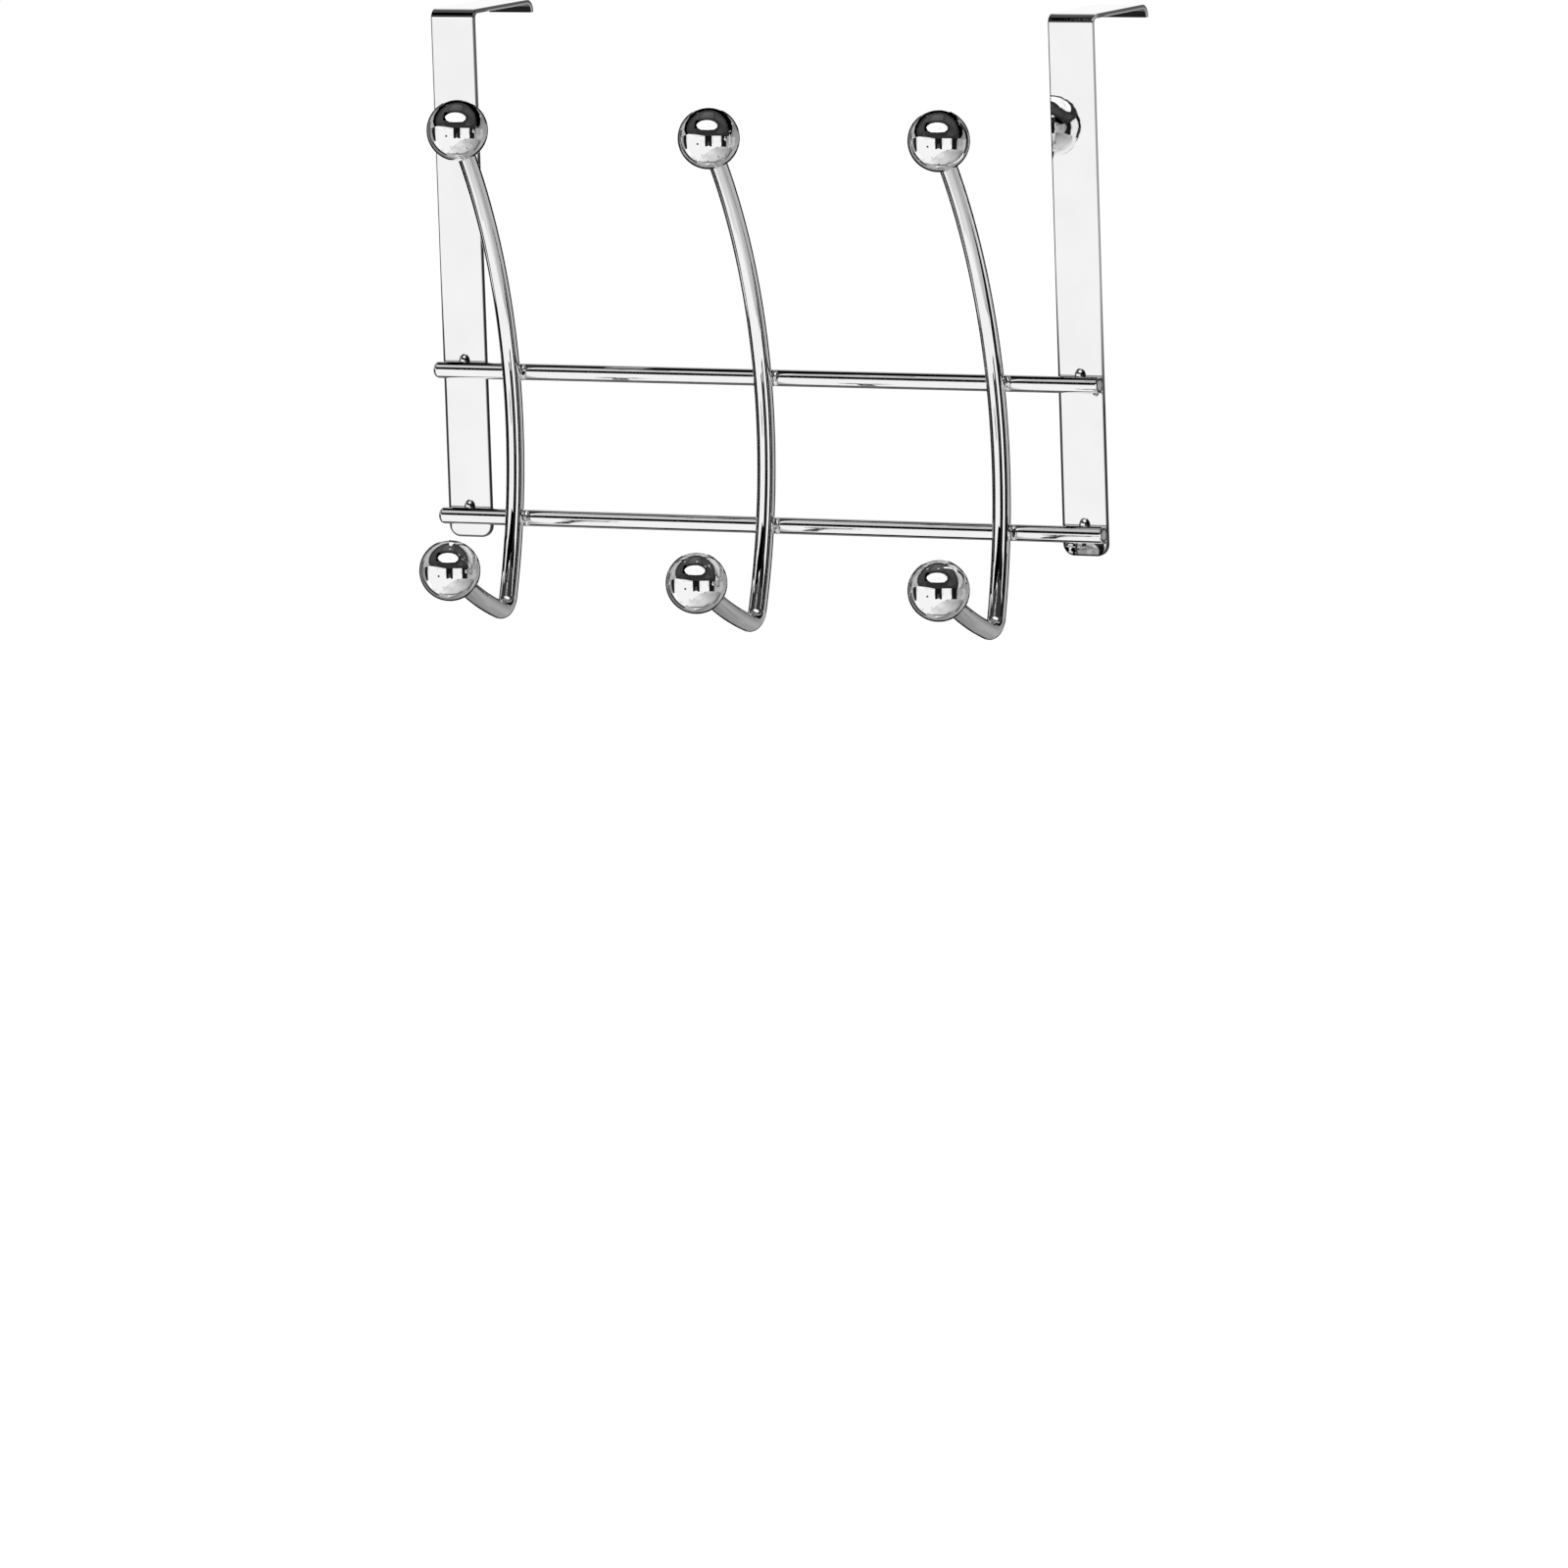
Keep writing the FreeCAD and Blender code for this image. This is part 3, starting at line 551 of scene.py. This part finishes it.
def paint_strip_shade(material):
    # Painted shade on the strip's plating. Its sides are painted dark, except for a line along the inside
    # of the tab and the upper right edge, which are left bright so that their highlights show. Its
    # outline is painted darker as a painted dark reflection, and the inside of the lip is painted dark as
    # painted shade.
    sums = Sums(material)
    shader = sums.nodes["Principled BSDF"]
    plate = shader.inputs["Base Color"].links[0].from_socket
    shape = sums.nodes.new("ShaderNodeNewGeometry")
    place = sums.nodes.new("ShaderNodeTexCoord")
    facing_x, facing_y, _ = sums.split(shape.outputs["Normal"])
    x, y, z = sums.split(place.outputs["Object"])

    # Painted shade: the strip's sides, facing left or right, are painted dark
    side = sums.span(sums.size(facing_x), *SIDE_FACING)
    # A line along the inside of the tab where the painted shade on the sides is left off, so that its
    # highlight shows
    behind = sums.most(sums.less(y, TAB_BEND_Y), 0.0)
    above = sums.less(z, TAB_BEND_Z)
    depth = sums.less(sums.reach(behind, above), TAB_BEND_INSIDE)
    unshaded_tab_line = sums.times(sums.span(depth, *UNSHADED_TAB_DEPTH), sums.span(y, *UNSHADED_TAB_Y))

    # Painted dark reflection along the strip's edges and round its lower end, wider on its left edges and
    # lower down
    across = sums.size(sums.less(sums.size(x), STRIP_CENTRE))
    beyond = sums.most(sums.less(across, STRIP_HALF - STRIP_CORNER), 0.0)
    below = sums.most(sums.less(STRIP_END + STRIP_CORNER, z), 0.0)
    out = sums.reach(beyond, below)
    outline = sums.span(out, STRIP_CORNER - OUTLINE[0], STRIP_CORNER - OUTLINE[1])
    at_end = sums.span(z, STRIP_END + END_ABOVE[0], STRIP_END + END_ABOVE[1])
    painted_end_edge = sums.times(sums.span(out, STRIP_CORNER - END_OUTLINE[0], STRIP_CORNER - END_OUTLINE[1]),
                             at_end)
    hand = sums.less(x, sums.times(sums.work("SIGN", x), STRIP_CENTRE))
    widening = sums.times(sums.span(z, *LEFT_WIDENS_Z), LEFT_WIDENING)
    left_edge = sums.span(sums.plus(across, widening),
                          STRIP_HALF - LEFT_OUTLINE[0], STRIP_HALF - LEFT_OUTLINE[1])
    painted_left_edge = sums.times(sums.span(hand, *LEFT_HAND), left_edge)

    # Places where the painted shade is left off so that highlights show: the right edge between the
    # rails, the upper sides in part, and the line inside the tab
    on_leg = sums.times(sums.span(y, *KEPT_Y), sums.span(z, *KEPT_Z))
    kept_right = sums.times(on_leg, sums.span(x, STRIP_CENTRE + KEPT_BESIDE[0],
                                              STRIP_CENTRE + KEPT_BESIDE[1]))
    kept_top = sums.times(side, sums.times(sums.span(z, *KEPT_TOP_Z), KEPT_TOP_SHARE))
    kept = sums.most(kept_right, sums.most(kept_top, sums.times(side, unshaded_tab_line)))
    # Painted shade: the inside face of the lip is painted dark
    deep = sums.span(y, LIP_FACE - LIP_DEPTH[0], LIP_FACE - LIP_DEPTH[1])
    painted_lip_shade = sums.times(deep, sums.span(facing_y, *LIP_FACING))

    # Each painted shade darkens the plating in turn, and the kept places get the plain plating back
    colour = plate
    for share, tone in ((outline, PAINTED_OUTLINE_SHADE), (painted_left_edge, PAINTED_LEFT_EDGE_SHADE),
                        (painted_end_edge, PAINTED_END_EDGE_SHADE), (side, PAINTED_SIDE_SHADE), (painted_lip_shade, PAINTED_LIP_SHADE)):
        colour = sums.mix(share, colour, (tone, tone, tone * BLUE_SHARE, 1))
    sums.links.new(sums.mix(kept, colour, plate), shader.inputs["Base Color"])
    return material


# Rails, their sheared right ends, and the hooks' stems, as the CAD has them, in metres
RAIL_AXIS_Y = -0.00395
RAIL_HEIGHTS = {"upper": -0.1174, "lower": -0.1658}
RAIL_END = 0.1207
STEM_AXIS_Y = -0.0089

# The torn rim of a rail's end: the tears' scale, how far they move it, and how far out from the axis
# it starts and is full, in metres
TEAR_SCALE = 1100.0
TEAR_WIDTH = 0.0012
TORN_FROM = (0.0021, 0.0024)
DARK_RIM_COLOUR = (0.04, 0.04, 0.041, 1)


def darken_end_rims(material):
    # The rim of the end that the shear left is darkened, in a ragged ring.
    sums = Sums(material)
    shader = sums.nodes["Principled BSDF"]
    plate = shader.inputs["Base Color"].links[0].from_socket
    place = sums.nodes.new("ShaderNodeTexCoord")
    _, y, z = sums.split(place.outputs["Object"])
    upper, lower = RAIL_HEIGHTS["upper"], RAIL_HEIGHTS["lower"]
    forward = sums.less(y, RAIL_AXIS_Y)
    above = sums.less(sums.size(sums.less(z, (upper + lower) / 2)), (upper - lower) / 2)
    tears = sums.nodes.new("ShaderNodeTexNoise")
    tears.inputs["Scale"].default_value = TEAR_SCALE
    sums.links.new(place.outputs["Object"], tears.inputs["Vector"])
    out = sums.plus(sums.reach(forward, above), sums.times(tears.outputs["Fac"], TEAR_WIDTH))
    sums.links.new(sums.mix(sums.span(out, *TORN_FROM), plate, DARK_RIM_COLOUR), shader.inputs["Base Color"])
    return material


def dress_parts():
    finishes = {
        "rail_end": darken_end_rims(chrome("rail_end_chrome", 0.90, 0.03, 90.0)),
        "strap": paint_strip_shade(chrome("strap_chrome", 0.90, 0.02, 60.0, lean=STRIP_LEAN)),
        "rail": chrome("rail_chrome", 0.90, 0.015, 90.0, (0.12, 1.0, 1.0), 0.00003),
        "hook": chrome("hook_chrome", 0.90, 0.015, 90.0, (1.0, 1.0, 0.12), 0.00003),
        "ball": chrome("ball_chrome", 0.92, 0.012, 70.0),
    }
    for name, part in parts.items():
        part.data.materials.clear()
        part.data.materials.append(next(finishes[kind] for kind in finishes if kind in name))
        for face in part.data.polygons:
            face.use_smooth = True


def add_part(name, mesh):
    data = bpy.data.meshes.new(name)
    bmesh.ops.recalc_face_normals(mesh, faces=mesh.faces[:])
    mesh.to_mesh(data)
    mesh.free()
    part = bpy.data.objects.new(name, data)
    bpy.context.scene.collection.objects.link(part)
    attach(part, "root")
    parts[name] = part


# Weld beads, in metres: how far to the side of a stem's middle and how far forward they sit, their
# half sizes, and those of the blob under the upper rail's end
WELD_SIDE = 0.0031
WELD_FRONT = -0.0061
WELD_SIZE = (0.0013, 0.0014, 0.0026)
END_WELD_PLACE = Vector((0.1195, -0.0042, RAIL_HEIGHTS["upper"] - 0.0026))
END_WELD_SIZE = (0.0009, 0.0011, 0.0011)
# A bead's lumps and its ripple, on a ball of radius 1
LUMP_SCALE = 1.3
LUMP_HEIGHT = 0.22
LUMP_ALONG = 0.4
BEAD_RIPPLES = 9.0
BEAD_RIPPLE_HEIGHT = 0.04
# How far the seed moves on from one detail to the next
SEED_STEP = 3.7


def stem_at(hook, height):
    # The middle of a hook's stem at this height, from where level rays across it enter from each side
    level = Vector((0, STEM_AXIS_Y, height))
    near = hook.ray_cast(level + Vector((-0.2, 0, 0)), Vector((1, 0, 0)))[1].x
    far = hook.ray_cast(level + Vector((0.2, 0, 0)), Vector((-1, 0, 0)))[1].x
    return (near + far) / 2


def add_weld(name, place, seed, size):
    # A lumpy bead of weld, drawn out along the stem where it fills a corner between stem and rail
    width, depth, height = size
    mesh = bmesh.new()
    bmesh.ops.create_icosphere(mesh, subdivisions=4, radius=1.0)
    for vert in mesh.verts:
        lump = noise.noise(vert.co * LUMP_SCALE + Vector((seed, 0, 0))) * LUMP_HEIGHT
        ripple = BEAD_RIPPLE_HEIGHT * math.cos(vert.co.z * BEAD_RIPPLES + seed)
        across = (1.0 + lump) * (1.0 + ripple)
        vert.co = place + Vector((vert.co.x * width * across, vert.co.y * depth * across,
                                  vert.co.z * height * (1.0 + lump * LUMP_ALONG)))
    add_part(name, mesh)


# The face that the shear left on a rail, in metres: its radius, the burr's radius, width and height,
# how rough the torn face is, where it falls away to the rim, and how far the piece reaches in
FACE_RADIUS = 0.00245
BURR_RADIUS = 0.0020
BURR_WIDTH = 0.00022
BURR_HEIGHT = 0.00006
TORN_SCALE = 1300
TORN_HEIGHT = 0.000035
FALL_RADIUS = 0.0021
FALL_WIDTH = 0.00035
FACE_RISE = 0.00002
RIM_SINK = 0.00001
FACE_DEPTH = 0.0006
FACE_RINGS = 12
FACE_SECTORS = 48


def add_sheared_end(name, height, seed):
    # The end that the shear left on a rail: a raised burr round a torn face
    mesh = bmesh.new()
    rows = []
    for ring in range(FACE_RINGS + 1):
        reach = FACE_RADIUS * ring / FACE_RINGS
        burr = BURR_HEIGHT * math.exp(-((reach - BURR_RADIUS) / BURR_WIDTH) ** 2)
        fall = 1.0 - max(0.0, (reach - FALL_RADIUS) / FALL_WIDTH)
        row = []
        for sector in range(FACE_SECTORS if ring else 1):
            turn = math.tau * sector / FACE_SECTORS
            spot = Vector((0, reach * math.cos(turn), reach * math.sin(turn)))
            torn = noise.noise(spot * TORN_SCALE + Vector((seed, 0, 0))) * TORN_HEIGHT
            spot.x = RAIL_END - RIM_SINK + (burr + torn + FACE_RISE) * fall
            row.append(mesh.verts.new(spot + Vector((0, RAIL_AXIS_Y, height))))
        rows.append(row)
    back = [mesh.verts.new(Vector((RAIL_END - FACE_DEPTH, vert.co.y, vert.co.z))) for vert in rows[-1]]
    for sector in range(FACE_SECTORS):
        after = (sector + 1) % FACE_SECTORS
        mesh.faces.new((rows[0][0], rows[1][sector], rows[1][after]))
        for inner, outer in zip(rows[1:-1], rows[2:]):
            mesh.faces.new((inner[sector], outer[sector], outer[after], inner[after]))
        mesh.faces.new((rows[-1][sector], back[sector], back[after], rows[-1][after]))
    mesh.faces.new(back)
    add_part(name, mesh)


def add_details():
    seed = 1.0
    for rail, height in RAIL_HEIGHTS.items():
        for place in ("left", "middle", "right"):
            middle = stem_at(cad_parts["hook_" + place], height)
            for side, name in ((-1, "inner"), (1, "outer")):
                seed += SEED_STEP
                add_weld(f"rail_weld_{rail}_{place}_{name}",
                         Vector((middle + side * WELD_SIDE, WELD_FRONT, height)), seed, WELD_SIZE)
        seed += SEED_STEP
        add_sheared_end(f"rail_end_{rail}", height, seed)
    add_weld("rail_weld_upper_end", END_WELD_PLACE, seed, END_WELD_SIZE)


parts = dict(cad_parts)
add_camera()
add_details()
add_world()
add_floor()
card_glow = glow_material()
for card in CARDS:
    add_card(card_glow, *card)
for lamp in LAMPS:
    add_lamp(*lamp)
dress_parts()

bpy.context.scene.view_settings.view_transform = "Standard"
